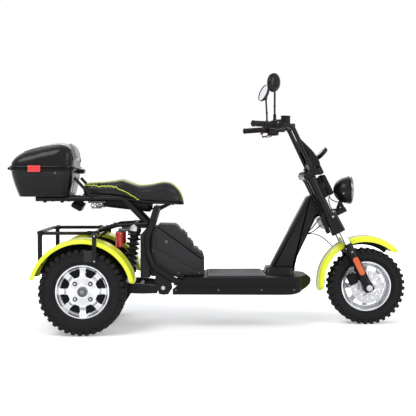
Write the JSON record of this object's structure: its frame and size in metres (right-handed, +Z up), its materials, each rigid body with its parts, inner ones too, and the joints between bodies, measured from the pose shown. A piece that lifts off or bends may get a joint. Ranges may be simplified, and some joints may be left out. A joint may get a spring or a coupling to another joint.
{
  "type": "electric tricycle",
  "caption": "Two-seat electric tricycle with wide rear tyres, footboard, battery case under the saddle and a lidded top case.",
  "frame": {"origin": "on the ground, under the middle of the overall box", "axes": "+X forward, +Y to the rider's left, +Z up"},
  "size_m": [2.136, 0.812, 1.3214],
  "materials": {
    "black_paint": "gloss",
    "black_plastic": "matte",
    "grey_plastic": "satin",
    "gloss_black": "gloss",
    "yellow": "gloss",
    "tyre": "matte",
    "alloy": "machined",
    "steel": "brushed",
    "chrome": "polished",
    "vinyl": "satin",
    "mat": "matte",
    "rubber": "matte",
    "red_lens": "gloss",
    "orange_lens": "gloss",
    "red_paint": "gloss",
    "clear": "clear",
    "spring_paint": "gloss"
  },
  "bodies": {
    "frame": {"frame_rails": "black_paint", "subframe_rails": "black_paint", "cross_members": "black_paint", "backbone": "black_paint", "deck_shell": "black_plastic", "deck_mat": "mat", "battery_case": "grey_plastic", "battery_pack": "grey_plastic", "seat_bucket": "black_plastic", "case_base": "gloss_black", "case_latch": "black_plastic", "case_reflectors": "red_lens", "case_mount": "black_paint", "tail_lamp": "black_plastic", "fender_rear_left": "yellow", "fender_rear_right": "yellow", "rear_rack": "black_paint", "rack_mounts": "black_paint", "swing_arm": "black_paint", "axle_housing": "black_paint", "shocks": "steel", "shock_springs": "spring_paint", "shock_reservoirs": "red_paint", "shock_mounts": "black_paint", "brake_hoses": "rubber"},
    "steering": {"fork_legs": "black_paint", "stanchions": "chrome", "lower_yoke": "black_paint", "upper_tubes": "black_paint", "top_yoke": "black_paint", "front_cover": "black_plastic", "front_axle": "steel", "fork_reflectors": "orange_lens", "caliper": "steel", "fender_front": "yellow", "headlight_shell": "gloss_black", "headlight_lens": "clear", "lamp_leads": "rubber", "handlebar": "black_paint", "grips": "rubber", "levers": "black_plastic", "mirror_stems": "black_paint", "mirrors": "black_plastic", "nacelle": "black_plastic", "display": "black_plastic"},
    "front_wheel": {"tyre_front": "tyre", "rim_front": "alloy", "brake_rotor": "steel"},
    "rear_wheel_left": {"tyre_rear_left": "tyre", "rim_rear_left": "alloy"},
    "rear_wheel_right": {"tyre_rear_right": "tyre", "rim_rear_right": "alloy"},
    "seat": {"seat_cushion": "vinyl", "seat_base": "black_plastic"},
    "case_lid": {"case_lid": "gloss_black"},
    "battery_lid": {"battery_lid": "grey_plastic"}
  },
  "joints": [
    {"name": "steer", "type": "hinge", "parent": "frame", "child": "steering", "pos_m": [0.59693, 0, 0.68419], "axis": [-0.4384, 0, 0.8988], "range_deg": [-35, 35], "deforming": ["brake_hoses"]},
    {"name": "front_wheel_spin", "type": "hinge", "parent": "steering", "child": "front_wheel", "pos_m": [0.865, 0, 0.203], "axis": [0, 1, 0], "continuous": true},
    {"name": "rear_left_spin", "type": "hinge", "parent": "frame", "child": "rear_wheel_left", "pos_m": [-0.628, 0.294, 0.218], "axis": [0, 1, 0], "continuous": true},
    {"name": "rear_right_spin", "type": "hinge", "parent": "frame", "child": "rear_wheel_right", "pos_m": [-0.628, -0.294, 0.218], "axis": [0, 1, 0], "continuous": true},
    {"name": "seat_tilt", "type": "hinge", "parent": "frame", "child": "seat", "pos_m": [-0.182, 0, 0.654], "axis": [0, 1, 0], "range_deg": [0, 60]},
    {"name": "case_lid_hinge", "type": "hinge", "parent": "frame", "child": "case_lid", "pos_m": [-1.062, 0, 0.838], "axis": [0, -1, 0], "range_deg": [0, 75]},
    {"name": "battery_lid_hinge", "type": "hinge", "parent": "frame", "child": "battery_lid", "pos_m": [-0.01, 0, 0.356], "axis": [0, 1, 0], "range_deg": [0, 95]}
  ]
}
